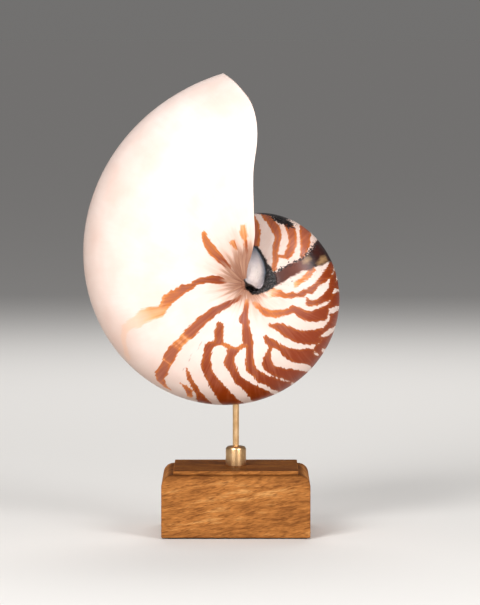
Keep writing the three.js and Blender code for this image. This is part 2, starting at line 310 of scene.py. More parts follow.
def whorl_tree():
    """Sweeps a section along the spiral, as a closed solid.

    The tree lays a grid over the solid: one way runs round the section, the other along the
    growth. The rows before the first ring and after the last one shrink the section to a
    point, flat at the mouth's end, and as a bowl at the other end if it is given a depth.
    """
    tree = bpy.data.node_groups.new("whorl", "GeometryNodeTree")
    face = tree.interface
    face.new_socket("Section", in_out="INPUT", socket_type="NodeSocketGeometry")
    numbers = [
        ("Rings", "NodeSocketInt", 200),
        ("Cap Rings", "NodeSocketInt", 1),
        ("From", "NodeSocketFloat", 0),
        ("To", "NodeSocketFloat", 345),
        ("Lip", "NodeSocketFloat", 0),
        ("Cap Depth", "NodeSocketFloat", 0),
        ("Mouth Radius", "NodeSocketFloat", MOUTH_RADIUS),
        ("Growth", "NodeSocketFloat", GROWTH),
        ("Mouth Angle", "NodeSocketFloat", MOUTH_ANGLE),
        ("Section Middle", "NodeSocketFloat", 0.5),
    ]
    for name, kind, value in numbers:
        face.new_socket(name, in_out="INPUT", socket_type=kind).default_value = value
    face.new_socket("Pole", in_out="INPUT", socket_type="NodeSocketVector")
    face.new_socket("Finish", in_out="INPUT", socket_type="NodeSocketMaterial")
    face.new_socket("Solid", in_out="OUTPUT", socket_type="NodeSocketGeometry")

    given = add(tree, "NodeGroupInput", out=None)
    around = add(tree, "GeometryNodeAttributeDomainSize", {"Geometry": given["Section"]})
    rows = add(tree, MATH, {0: given["Rings"], 1: given["Cap Rings"]}, operation="ADD")
    rows = add(tree, MATH, {0: rows, 1: 1.0}, operation="ADD")
    grid = add(tree, "GeometryNodeMeshGrid", {"Vertices X": rows, "Vertices Y": around})

    # which ring and which section point a vertex of the grid stands for
    index = add(tree, "GeometryNodeInputIndex")
    row = add(tree, MATH, {0: index, 1: around}, operation="DIVIDE")
    row = add(tree, MATH, {0: row}, operation="FLOOR")
    column = add(tree, MATH, {0: index, 1: around}, operation="MODULO")
    last_ring = add(tree, MATH, {0: given["Rings"], 1: 1.0}, operation="SUBTRACT")
    along = add(tree, RANGE, {"Value": row, "From Min": 1.0, "From Max": given["Rings"]})
    position = add(tree, "GeometryNodeInputPosition")
    sampled = {"Geometry": given["Section"], "Value": position, "Index": column}
    place = add(tree, "GeometryNodeSampleIndex", sampled, data_type="FLOAT_VECTOR")

    # the caps: 0 on the rings, up to 90 degrees where the section has shrunk to a point
    row_past = add(tree, MATH, {0: row, 1: last_ring}, operation="SUBTRACT")
    cap_end = add(tree, MATH, {0: given["Cap Rings"], 1: 1.0}, operation="ADD")
    span = {"Value": row_past, "From Min": 1.0, "From Max": cap_end, "To Max": math.pi / 2}
    past = add(tree, RANGE, span)
    before = add(tree, MATH, {0: row, 1: 0.5}, operation="GREATER_THAN")
    keep = add(tree, MATH, {0: past}, operation="COSINE")
    keep = add(tree, MATH, {0: keep, 1: before}, operation="MULTIPLY")
    deepen = add(tree, MATH, {0: past}, operation="SINE")
    deepen = add(tree, MATH, {0: deepen, 1: given["Cap Depth"]}, operation="MULTIPLY")

    # the back angle: the lip's curve at the first ring, fading to a straight last ring
    share = add(tree, SPLIT, {0: place}, out="X")
    lip = add(
        tree,
        "ShaderNodeFloatCurve",
        {"Value": share},
        curve=[(s, 0.5 + back / LIP_SPAN) for s, back in LIP],
    )
    lip_back = add(tree, MATH, {0: lip, 1: 0.5}, operation="SUBTRACT")
    lip_back = add(tree, MATH, {0: lip_back, 1: float(LIP_SPAN)}, operation="MULTIPLY")
    lip_back = add(tree, MATH, {0: lip_back, 1: given["Lip"]}, operation="MULTIPLY")
    first = add(tree, MATH, {0: given["From"], 1: lip_back}, operation="ADD")
    back = add(tree, MIX, {0: along, 2: first, 3: given["To"]}, data_type="FLOAT")

    # the spiral: scale by the keel's radius, turn about the pole
    turns = add(tree, MATH, {0: back}, operation="RADIANS")
    decay = add(tree, MATH, {0: turns, 1: given["Growth"]}, operation="MULTIPLY")
    shrink = add(tree, MATH, {0: -1.0, 1: decay}, operation="MULTIPLY")
    shrink = add(tree, MATH, {0: shrink}, operation="EXPONENT")
    radius = add(tree, MATH, {0: shrink, 1: given["Mouth Radius"]}, operation="MULTIPLY")
    middle = add(tree, "ShaderNodeCombineXYZ", {"X": given["Section Middle"]})
    shape = add(tree, MIX, {0: keep, 4: middle, 5: place}, data_type="VECTOR", out=1)
    shape = add(tree, VECTOR, {0: shape, "Scale": radius}, operation="SCALE")
    angle = add(tree, MATH, {0: given["Mouth Angle"], 1: deepen}, operation="ADD")
    angle = add(tree, MATH, {0: angle, 1: back}, operation="ADD")
    angle = add(tree, MATH, {0: angle}, operation="RADIANS")
    turned_shape = add(
        tree, "ShaderNodeVectorRotate", {"Vector": shape, "Axis": (0.0, -1.0, 0.0), "Angle": angle}
    )
    position = add(tree, VECTOR, {0: turned_shape, 1: given["Pole"]})
    solid = add(tree, "GeometryNodeSetPosition", {"Geometry": grid, "Position": position})
    solid = add(tree, "GeometryNodeMergeByDistance", {"Geometry": solid, "Distance": 1e-6})
    solid = add(tree, "GeometryNodeSetMaterial", {0: solid, "Material": given["Finish"]})
    solid = add(tree, "GeometryNodeRealizeInstances", {0: solid})
    add(tree, "NodeGroupOutput", {"Solid": solid}, out=None)
    return tree


WHORL = whorl_tree()


def whorl(name, piece, finish, sizes):
    """One solid swept by the whorl tree from its section, which turns into it."""
    piece.name = name
    modifier = piece.modifiers.new("whorl", "NODES")
    modifier.node_group = WHORL
    values = {"Pole": POLE, "Finish": finish, **sizes}
    for item in WHORL.interface.items_tree:
        if item.in_out == "INPUT" and item.name in values:
            modifier[item.identifier] = values[item.name]
    make_plain(piece)
    piece.data.materials.clear()
    piece.data.materials.append(finish)
    outward_faces(piece)
    return piece


def outward_faces(piece):
    """Recalculates the face directions of a closed solid."""
    work = bmesh.new()
    work.from_mesh(piece.data)
    bmesh.ops.recalc_face_normals(work, faces=work.faces)
    work.to_mesh(piece.data)
    work.free()
    return piece


def ellipsoid(name, centre, radii, material):
    work = bmesh.new()
    bmesh.ops.create_uvsphere(work, u_segments=96, v_segments=64, radius=1)
    for vertex in work.verts:
        x, y, z = vertex.co
        poles_sideways = (x, -z, y)
        vertex.co = [c + r * v for c, r, v in zip(centre, radii, poles_sideways)]
    piece = new_object(name, [], [])
    work.to_mesh(piece.data)
    work.free()
    piece.data.materials.append(material)
    return outward_faces(piece)


def make_shell(outside, nacre):
    """The shell as one solid: outer wall, older turn and callus, less the living chamber."""
    fine = dict(flank_points=34, venter_points=64)
    coarse = dict(flank_points=22, venter_points=40)
    last_turn = {"Rings": 300, "To": 345.0, "Lip": 1.0}
    turn_before = {"Rings": 90, "From": 330.0, "To": 525.0}
    chamber = {"Rings": 80, "From": -6.0, "To": SEPTUM_BACK, "Lip": 1.0}
    chamber.update({"Cap Rings": 14, "Cap Depth": SEPTUM_DEPTH})

    shell = whorl("nautilus", section_object("section", 0, **fine), outside, last_turn)
    older_turns = [
        whorl("older_turn", section_object("section", 0, **fine), outside, turn_before)
        for _ in range(2)
    ]
    calluses = [ellipsoid("callus", CALLUS_CENTRE, CALLUS_RADII, outside) for _ in range(2)]
    hollow = whorl("living_chamber", section_object("section", WALL, **coarse), nacre, chamber)

    # the rod's hole: its bit comes from well below the shell's skin, and ends just past the rod
    rod_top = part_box("brass_rod")[1][2]
    low, top, radius = rod_top - 20 * MM, rod_top + 0.5 * MM, 1.85 * MM
    bit = [(0, low), (radius, low), (radius, top), (0, top)]
    bit = outward_faces(turned("bit", bit, outside, rounds=32))
    boolean(hollow, "DIFFERENCE", older_turns[0])
    boolean(hollow, "DIFFERENCE", calluses[0])
    boolean(shell, "UNION", older_turns[1])
    boolean(shell, "UNION", calluses[1])
    boolean(shell, "DIFFERENCE", hollow)
    for side in (-1, 1):
        across, out, up = PIT_OFFSET
        pit_centre = (POLE[0] + across, side * out, POLE[2] + up)
        pit = ellipsoid("pit", pit_centre, PIT_RADII, outside)
        boolean(shell, "DIFFERENCE", pit)
    boolean(shell, "DIFFERENCE", bit)
    return smooth(shell)


# ---- The shell's markings ------------------------------------------------------------------

# Each marking is a band that crosses the flank. Its rows say, for a place on the flank from the
# coil's axis (0) to the keel (1), the back angles between which it lies, and for a flame how
# strong its pigment is there.
FLAMES = {
    "blotch": [
        (0.10, 38, 45, 0.9), (0.14, 36.5, 46.5, 0.9), (0.17, 36.2, 46.8, 0.8),
        (0.19, 36, 46.4, 0.6), (0.22, 36, 46, 0.55), (0.26, 35.5, 43.5, 0.55),
        (0.295, 34.3, 40.7, 0.55), (0.315, 34, 36, 0.5),
    ],
    "fleck_by_the_ear": [(0.12, -5, -2, 0.9), (0.15, -5, -1, 0.9), (0.18, -4, -1, 0.7)],
    "drop_by_the_ear": [
        (0.15, -3, -1, 0.5), (0.18, -3, -0.5, 0.4), (0.20, -3, 1.5, 0.4),
        (0.225, -2, 3.5, 0.35), (0.245, -1, 1, 0.3),
    ],
    "spot_above_the_fan": [
        (0.155, 12, 13.5, 0.4), (0.18, 11.5, 15.5, 0.5), (0.20, 12.5, 17.5, 0.4),
    ],
    "long_flame": [
        (0.10, 74, 80, 0.9), (0.13, 70, 84, 0.95), (0.15, 68.5, 83.5, 0.95),
        (0.20, 73, 82, 0.9), (0.26, 78, 84.5, 0.8), (0.30, 84, 89.5, 0.75),
        (0.33, 86, 92, 0.7), (0.345, 84.5, 93, 0.7), (0.36, 88, 94.5, 0.7),
        (0.375, 87, 96, 0.6), (0.395, 90.5, 97.5, 0.6), (0.405, 88.5, 98.2, 0.6),
        (0.43, 92.5, 100, 0.55), (0.45, 92.6, 101, 0.5), (0.465, 95.6, 102.5, 0.45),
        (0.50, 99.8, 105.4, 0.36), (0.55, 99.2, 105.5, 0.3), (0.60, 100, 105.5, 0.22),
        (0.65, 102.3, 107, 0.15), (0.70, 103.6, 106.2, 0.12), (0.75, 105.3, 107.2, 0.09),
        (0.80, 110.1, 112, 0.08), (0.85, 115.4, 117.2, 0.08), (0.90, 117.8, 119.2, 0.06),
    ],
    "middle_flame": [
        (0.07, 146, 154, 0.9), (0.105, 137.5, 148.5, 0.9), (0.15, 127, 139, 0.95),
        (0.20, 123.2, 134.5, 0.9), (0.24, 119.2, 131.2, 0.85), (0.30, 119.5, 129.1, 0.8),
        (0.35, 120, 128.6, 0.75), (0.40, 121.4, 130, 0.75), (0.45, 122, 130, 0.75),
        (0.472, 123, 129.6, 0.7), (0.483, 123.5, 129, 0.2), (0.493, 123.8, 129.4, 0.65),
        (0.505, 124, 129.4, 0.4), (0.518, 124.2, 129.5, 0.7), (0.53, 124.3, 129.3, 0.25),
        (0.543, 124.3, 129.5, 0.65), (0.565, 124.6, 130, 0.45), (0.58, 124.8, 130.4, 0.75),
        (0.60, 125, 131, 0.75), (0.65, 126, 132, 0.75), (0.67, 127, 132, 0.7),
        (0.68, 127.6, 132.2, 0.4), (0.69, 128, 132.6, 0.7), (0.75, 129.5, 134.5, 0.75),
        (0.80, 130, 135, 0.7), (0.85, 132.7, 137.3, 0.6), (0.88, 137.8, 140.2, 0.5),
    ],
    "low_hook": [
        (0.65, 140, 140.8, 0.7), (0.69, 142, 144.3, 0.8), (0.72, 144, 147, 0.8),
        (0.75, 146.5, 149.6, 0.85), (0.78, 148.8, 151.8, 0.85), (0.81, 150.8, 154.3, 0.9),
        (0.86, 152.3, 157.2, 0.9), (0.91, 153.1, 159.6, 0.95), (0.99, 153.8, 160, 1),
    ],
    "faint_squiggle": [
        (0.775, 142.8, 144.6, 0.5), (0.79, 144.2, 147.6, 0.65), (0.82, 146, 149.4, 0.7),
        (0.85, 147.6, 149.9, 0.55), (0.88, 148.8, 149.8, 0.4),
    ],
    "upper_lobe": [
        (0.295, 139, 143, 0.8), (0.31, 138.5, 146.4, 0.85), (0.33, 140.5, 148, 0.85),
        (0.36, 141.5, 150, 0.85), (0.385, 143.8, 151.5, 0.85), (0.40, 145.5, 152.8, 0.8),
        (0.42, 146, 154, 0.8), (0.435, 142.5, 150, 0.85), (0.46, 140.5, 147.5, 0.9),
        (0.51, 143.5, 148.5, 0.85), (0.5875, 146.4, 152.7, 0.9), (0.62, 148.2, 155, 0.9),
        (0.65, 150.7, 157.3, 0.95), (0.70, 154.5, 162.7, 0.95), (0.7625, 158.2, 167, 1),
        (0.8125, 160.9, 169.8, 1), (0.8625, 162.7, 171.8, 1), (0.925, 164.5, 174.1, 1),
        (0.99, 165.5, 175.5, 1),
    ],
    "arched_flame": [
        (0.438, 162, 169, 0.6), (0.455, 158, 169, 0.75), (0.47, 160, 167.5, 0.85),
        (0.50, 159.5, 166.4, 0.85), (0.55, 159.5, 167, 0.85), (0.575, 161.8, 168.5, 0.85),
        (0.60, 164.5, 169.8, 0.9), (0.65, 167.3, 172.3, 0.95), (0.70, 170, 177.3, 1),
        (0.75, 173.8, 181.8, 1), (0.80, 176, 185, 1), (0.8625, 177.7, 187.7, 1),
        (0.94, 179.4, 189.6, 1), (0.99, 180, 190, 1),
    ],
    "sixth_flame": [
        (0.11, 172, 178, 0.3), (0.15, 169, 178.5, 0.7), (0.19, 167.3, 178, 0.85),
        (0.235, 162.8, 177.3, 0.85), (0.265, 163.6, 178, 0.85), (0.28, 169, 178.6, 0.85),
        (0.325, 170.5, 179.9, 0.85), (0.36, 171, 181.3, 0.85), (0.40, 171.5, 181.5, 0.85),
        (0.43, 175.3, 181.4, 0.85), (0.50, 175, 180.9, 0.85), (0.575, 175, 180.8, 0.85),
        (0.6125, 175.9, 182.3, 0.9), (0.656, 179.5, 185.5, 0.9), (0.7125, 182.7, 190, 1),
        (0.7625, 186.4, 193.8, 1), (0.825, 189.5, 197.3, 1), (0.8875, 191.8, 199, 1),
        (0.96, 193.2, 199.7, 1),
    ],
    "short_flame": [
        (0.49, 195.8, 197.5, 0.8), (0.505, 194.3, 198.7, 0.85), (0.54, 189.8, 195.2, 0.85),
        (0.59, 186.7, 193.3, 0.9), (0.64, 187.5, 194.5, 0.9), (0.70, 191.5, 198.6, 1),
        (0.75, 194.8, 203.2, 1), (0.80, 197.7, 206, 1), (0.86, 199.8, 208.6, 1),
        (0.94, 201.5, 210.2, 1), (0.99, 202, 210.7, 1),
    ],
    "eighth_flame": [
        (0.41, 194, 196, 0.8), (0.4375, 193.3, 198.2, 0.85), (0.46, 193.6, 200.2, 0.85),
        (0.494, 195.5, 202.8, 0.85), (0.52, 198.6, 204.7, 0.85), (0.55, 201.4, 206.2, 0.85),
        (0.575, 202, 207.3, 0.9), (0.625, 203.2, 211.5, 0.95), (0.675, 205, 214.5, 1),
        (0.70, 205.9, 216.8, 1), (0.725, 207.4, 219.1, 1), (0.775, 210.5, 221.4, 1),
        (0.80, 211.8, 222, 1), (0.875, 213.6, 222.7, 1), (0.95, 215, 223, 1),
    ],
    "ninth_flame": [
        (0.35, 203, 205, 0.7), (0.36, 202.8, 206.5, 0.75), (0.375, 204.5, 209.5, 0.8),
        (0.40, 207.5, 214.5, 0.8), (0.44, 209.5, 219.3, 0.8), (0.50, 212, 221.4, 0.85),
        (0.55, 213.6, 223.5, 0.9), (0.60, 215.8, 226, 0.95), (0.65, 218.5, 229, 1),
        (0.70, 221, 232, 1), (0.75, 224, 235, 1), (0.80, 227, 237, 1),
    ],
    "tenth_flame": [
        (0.15, 196, 200, 0.3), (0.19, 197.5, 208, 0.5), (0.22, 202, 210, 0.55),
        (0.26, 203.6, 214, 0.6), (0.29, 206.5, 218.5, 0.6), (0.32, 212.5, 223.5, 0.6),
        (0.35, 216.5, 227.5, 0.6), (0.38, 222.5, 231, 0.65), (0.41, 227, 236, 0.7),
        (0.43, 230, 240.3, 0.75), (0.455, 233.8, 241.6, 0.8), (0.50, 234, 242.3, 0.85),
        (0.55, 233.7, 241, 0.9), (0.58, 233.8, 241.6, 0.9), (0.61, 235, 243, 0.95),
        (0.66, 236.4, 246, 1), (0.72, 239.3, 249.5, 1), (0.775, 241.8, 252.3, 1),
    ],
    "eleventh_flame": [
        (0.20, 241, 248, 0.1), (0.225, 239.5, 252, 0.2), (0.245, 239.5, 256, 0.4),
        (0.28, 243, 254.5, 0.5), (0.31, 245.5, 255, 0.6), (0.35, 246, 253, 0.65),
        (0.385, 247.5, 253, 0.65), (0.42, 249.3, 254.8, 0.7), (0.46, 251, 256, 0.75),
        (0.50, 253.2, 258.5, 0.8), (0.53, 254, 260.3, 0.85), (0.56, 257.8, 261.5, 0.85),
        (0.60, 258.2, 264, 0.85), (0.63, 260.5, 266, 0.9), (0.66, 264, 267.7, 0.9),
        (0.70, 265.2, 271, 0.95), (0.75, 267.2, 273.7, 1), (0.80, 269, 276.5, 1),
        (0.86, 270.5, 278.2, 1),
    ],
    "twelfth_flame": [
        (0.55, 247, 253, 0.8), (0.575, 246.2, 251.8, 0.85), (0.61, 247.5, 251.5, 0.85),
        (0.65, 249.2, 253.5, 0.9), (0.70, 251.5, 257.5, 1), (0.75, 253.7, 261, 1),
        (0.80, 255.5, 263.6, 1), (0.86, 259, 267, 1),
    ],
    "salmon_flame": [
        (0.45, 264.5, 267, 0.3), (0.48, 265.3, 269.5, 0.45), (0.53, 268.6, 272.5, 0.5),
        (0.58, 271.3, 276, 0.55), (0.63, 274.2, 280, 0.6), (0.68, 277.5, 283, 0.6),
    ],
    "first_after_the_film": [
        (0.61, 291, 294, 0.6), (0.65, 291.5, 297.3, 0.65), (0.70, 293.8, 301.5, 0.7),
        (0.75, 296.8, 305.5, 0.7), (0.80, 299, 309, 0.7), (0.86, 301.7, 311.5, 0.75),
        (0.92, 303, 313, 0.75), (0.99, 304.5, 313.6, 0.75),
    ],
    "second_after_the_film": [
        (0.43, 307, 310, 0.6), (0.46, 303, 309, 0.65), (0.48, 298.5, 304.5, 0.65),
        (0.50, 297, 303.3, 0.7), (0.54, 298.2, 306.2, 0.7), (0.60, 300.4, 309, 0.7),
        (0.66, 304.3, 312.6, 0.7), (0.72, 308.6, 317.7, 0.7), (0.78, 312.5, 322, 0.7),
        (0.84, 315.5, 326, 0.7),
    ],
    "third_after_the_film": [
        (0.30, 291, 297, 0.6), (0.31, 290.5, 298.5, 0.65), (0.335, 294, 303, 0.65),
        (0.37, 299.5, 307.5, 0.65), (0.41, 303.5, 312.5, 0.65), (0.445, 307.5, 316, 0.65),
        (0.47, 311.8, 318.3, 0.65), (0.50, 312.8, 321, 0.65), (0.56, 316.3, 322.7, 0.7),
        (0.61, 318.5, 324.5, 0.7), (0.66, 321, 329, 0.7), (0.71, 323.4, 333.4, 0.7),
        (0.77, 328, 338, 0.7), (0.80, 331, 340.3, 0.7), (0.86, 335.3, 342.7, 0.7),
        (0.95, 340, 345.5, 0.7),
    ],
    "last_by_the_lip": [
        (0.44, 342, 347, 0.6), (0.465, 339.5, 349.5, 0.65), (0.54, 340.5, 351, 0.65),
        (0.61, 341.5, 352, 0.65), (0.67, 343.2, 353, 0.65), (0.73, 344.7, 354, 0.65),
        (0.80, 347.6, 355, 0.6), (0.88, 350.5, 356, 0.6),
    ],
}
# Thin lines of pigment from flame to flame: half thickness in millimetres, then the line as
# (back angle, place on the flank).
LINKS = [
    (0.7, [(153, 0.418), (158, 0.427), (161, 0.438), (165, 0.452)]),
    (0.9, [(165, 0.452), (168, 0.445), (171, 0.432), (176, 0.415)]),
]
LINK_STRENGTH = 0.6
# A hairline crack.
CRACK = [(137, 0.44), (138.5, 0.5), (137.5, 0.56), (139.5, 0.62), (139, 0.68)]
# Round the keel the flames run together: the band's edge as (back angle, place on the flank).
KEEL_BAND = [
    (212, 1.02), (214, 0.85), (222, 0.775), (224, 0.785), (227, 0.81), (235, 0.765),
    (238, 0.785), (242.5, 0.815), (251.5, 0.765), (254, 0.79), (257, 0.8), (262, 0.77),
    (265, 0.79), (270, 0.815), (274, 0.81), (279, 0.86), (282, 1.02),
]
KEEL_BAND_LEAN = 0.8  # its edge runs slantwise, so it is nearer than straight up the flank
# White ovals left clear where the flames run together round the keel.
CLEARINGS = {
    "a": [(0.80, 220, 221), (0.84, 219, 221.5), (0.88, 220, 221)],
    "b": [(0.87, 223.5, 225), (0.92, 223.2, 226), (0.99, 223.2, 226)],
    "c": [
        (0.765, 229.5, 230.5), (0.79, 230, 233.3), (0.82, 231, 236),
        (0.87, 233.5, 238), (0.92, 235.5, 239.5), (0.99, 237, 240),
    ],
    "d": [
        (0.775, 246, 248.5), (0.785, 245.5, 249), (0.83, 246.2, 251),
        (0.88, 247.7, 251.6), (0.95, 249, 252), (0.99, 249.5, 252.3),
    ],
    "e": [
        (0.81, 258.5, 259.5), (0.84, 259, 262), (0.87, 259.8, 262.8),
        (0.90, 260.2, 262.4), (0.99, 259.6, 261.5),
    ],
    "f": [(0.88, 266.8, 267.5), (0.95, 267.5, 270), (0.99, 268.5, 271.5)],
    "g": [(0.85, 270.8, 271.8), (0.90, 272.5, 274.5), (0.99, 275, 277.3)],
}
# The dark film that ran across the old turn at the last mouth.
FILM = [
    (0.27, 262, 289), (0.294, 265.5, 288.2), (0.35, 269.1, 289),
    (0.4125, 274.5, 290), (0.4875, 277.3, 291.5), (0.55, 279.1, 290.5),
    (0.625, 278.2, 291.8), (0.68, 279.5, 291.8), (0.75, 279.5, 293.5),
    (0.8125, 280, 295.5), (0.90, 280, 297.3), (0.99, 279, 297.3),
]
# Its outer border is thick, black and ragged.
FILM_LIP = [
    (0.27, 286.5, 290.5), (0.35, 288, 290.5), (0.4125, 289.3, 290.5),
    (0.4875, 290.3, 291.8), (0.55, 289.8, 291), (0.625, 291, 292.6),
    (0.68, 291.5, 292.3), (0.75, 293, 294.2), (0.9, 297, 298),
]
# A pale fleck of painted highlight on the film, and an olive patch beside the keel where the film
# is worn through.
WEAR_AND_HIGHLIGHT = {
    "fleck": [(0.60, 286, 288), (0.64, 284.5, 290), (0.69, 287, 290)],
    "patch": [(0.72, 280, 282), (0.80, 280.5, 286), (0.88, 281, 285)],
}
# A ragged black crust over the keel, just outside the mouth.
CRUST = [
    (0.79, 320, 325), (0.8125, 317, 333), (0.85, 315, 335.5),
    (0.8875, 319, 337.3), (0.91, 320.5, 343), (0.93, 321, 350),
    (0.99, 322, 356),
]

# Outlines in the plane of the coil, as (X, Z) in millimetres from the axis: the black rim of
# the umbilicus, and the pearl window inside it.
RIM_OUTLINE = [
    (3.5, 19.7), (5.5, 18.2), (7, 16.2), (8.4, 14), (10, 12), (10.4, 10.3), (12.2, 8.4),
    (13.2, 6), (15, 3), (15, 0), (13, -2), (10.5, -3.8), (8, -4.7), (5, -5.4), (2.5, -5.3),
    (0.8, -4.5), (-0.7, -2.5), (-1.3, -0.5), (-1.6, 2), (-4, 8), (-2, 14), (1, 19),
]
PEARL_OUTLINE = [
    (3, 19), (5, 17.3), (6.5, 15), (7.5, 13), (8.5, 10.8), (9.2, 8), (9.5, 5.5), (8.8, 3.5),
    (8.6, 1.5), (8, -0.5), (7.2, -1.8), (6, -2.6), (4.6, -2.2), (3.4, -1), (2, 0),
    (0.5, 0.5), (-0.8, 1.6), (-2, 4), (-5, 8), (-3, 14), (1, 19),
]
# The fan of pink-brown folds round the axis: how far it reaches, in millimetres, by back angle.
FAN_REACH = [
    (-20, 19), (-5, 20), (8, 19), (22, 16), (50, 13.5), (75, 11), (100, 10), (150, 8.5),
    (190, 9), (215, 8), (240, 9), (270, 10),
]
# What is laid out on the shell: distances in millimetres to the edge of the flames, the film,
# its worn places and painted highlight, the black, the crust, the pearl and the fan, positive
# inside them, and to the crack; and the pigment's strength, and the painted shade on the pearl and
# on the skin, from 0 to 1.
MARKS = (
    "stripe", "strength", "film", "wear_and_highlight", "black", "crust", "pearl", "fan", "shaded", "painted_shade",
    "crack",
)
FAR_OFF = 20.0  # millimetres, past which a marking's distance doesn't matter
NONE_NEAR = 99.0  # millimetres, from which the search for the nearest edge starts
OUTSIDE = -5.0  # millimetres, for a marking that isn't on this part of the shell
OVER_KEEL = 0.94  # place on the flank: a band that reaches it goes on over the keel


def keel_radius(back):
    return MOUTH_RADIUS * np.exp(-GROWTH * np.radians(back))


def place_on_shell(points):
    """Back angle, share of the keel's radius, and distance from the axis, for each point."""
    x, y, z = points[:, 0] - POLE[0], points[:, 1], points[:, 2] - POLE[2]
    radius = np.hypot(x, z)
    base = np.mod(np.degrees(np.arctan2(z, x)) - MOUTH_ANGLE, 360)
    backs = np.stack([base - 360, base, base + 360])
    shares = radius / keel_radius(backs)
    misses = np.abs(np.abs(y) - half_width(shares) * keel_radius(backs))
    past_the_lip, past_the_middle, past_the_keel = backs < -16, backs > 530, shares > 1.02
    misses[past_the_lip | past_the_middle | past_the_keel] = 1
    best = np.argmin(misses, axis=0)[None]
    back = np.take_along_axis(backs, best, 0)[0]
    share = np.take_along_axis(shares, best, 0)[0]
    return back, share, radius


def place_on_flank(share):
    """How far over the flank a share of the keel's radius lies: 0 at the axis, 1 at the keel."""
    section = half_section(inset=0, flank_points=200, venter_points=400)
    steps = np.hypot(*np.diff(section, axis=0).T)
    arc_length = np.concatenate([[0], np.cumsum(steps)])
    flank = np.interp(share, section[:, 0], arc_length / arc_length[-1])
    return flank, arc_length[-1]


def band_distance(rows, back, flank, per_degree, per_flank):
    """Millimetres to the edge of a band of rows, positive inside it."""
    flanks, starts, ends = np.array(rows, float).T[:3]
    start = np.interp(flank, flanks, starts)
    end = np.interp(flank, flanks, ends)
    lean = np.interp(flank, flanks, np.gradient((starts + ends) / 2, flanks))
    lean = lean * per_degree / per_flank
    across = np.minimum(back - start, end - back) * per_degree / np.sqrt(1 + lean**2)
    below = (flank - flanks[0]) * per_flank
    above = (flanks[-1] - flank) * per_flank if flanks[-1] < OVER_KEEL else NONE_NEAR
    return np.minimum(across, np.minimum(below, above))


def line_distance(line, back, flank, per_degree, per_flank):
    """Millimetres to a thin line laid over the shell."""
    nearest = np.full(back.shape, NONE_NEAR)
    for (back_a, flank_a), (back_b, flank_b) in zip(line, line[1:]):
        across, up = (back - back_a) * per_degree, (flank - flank_a) * per_flank
        run, rise = (back_b - back_a) * per_degree, (flank_b - flank_a) * per_flank
        along = np.clip((across * run + up * rise) / (run**2 + rise**2), 0, 1)
        nearest = np.minimum(nearest, np.hypot(across - along * run, up - along * rise))
    return nearest


def outline_distance(outline, x, z):
    """Millimetres to a closed outline in the coil's plane, positive inside it."""
    starts = np.array(outline, float)
    nearest = np.full(x.shape, NONE_NEAR)
    inside = np.zeros(x.shape, bool)
    for (ax, az), (bx, bz) in zip(starts, np.roll(starts, -1, axis=0)):
        step = (bx - ax, bz - az)
        along = ((x - ax) * step[0] + (z - az) * step[1]) / (step[0] ** 2 + step[1] ** 2)
        along = np.clip(along, 0, 1)
        gap = np.hypot(x - ax - along * step[0], z - az - along * step[1])
        nearest = np.minimum(nearest, gap)
        crossing = ax + (z - az) * step[0] / (step[1] or 1e-9)
        inside ^= ((az > z) != (bz > z)) & (x < crossing)
    return np.where(inside, nearest, -nearest)


def rise(value, start, full):
    """0 at a start and beyond, rising to 1 where it is full."""
    return np.clip((value - start) / (full - start), 0, 1)


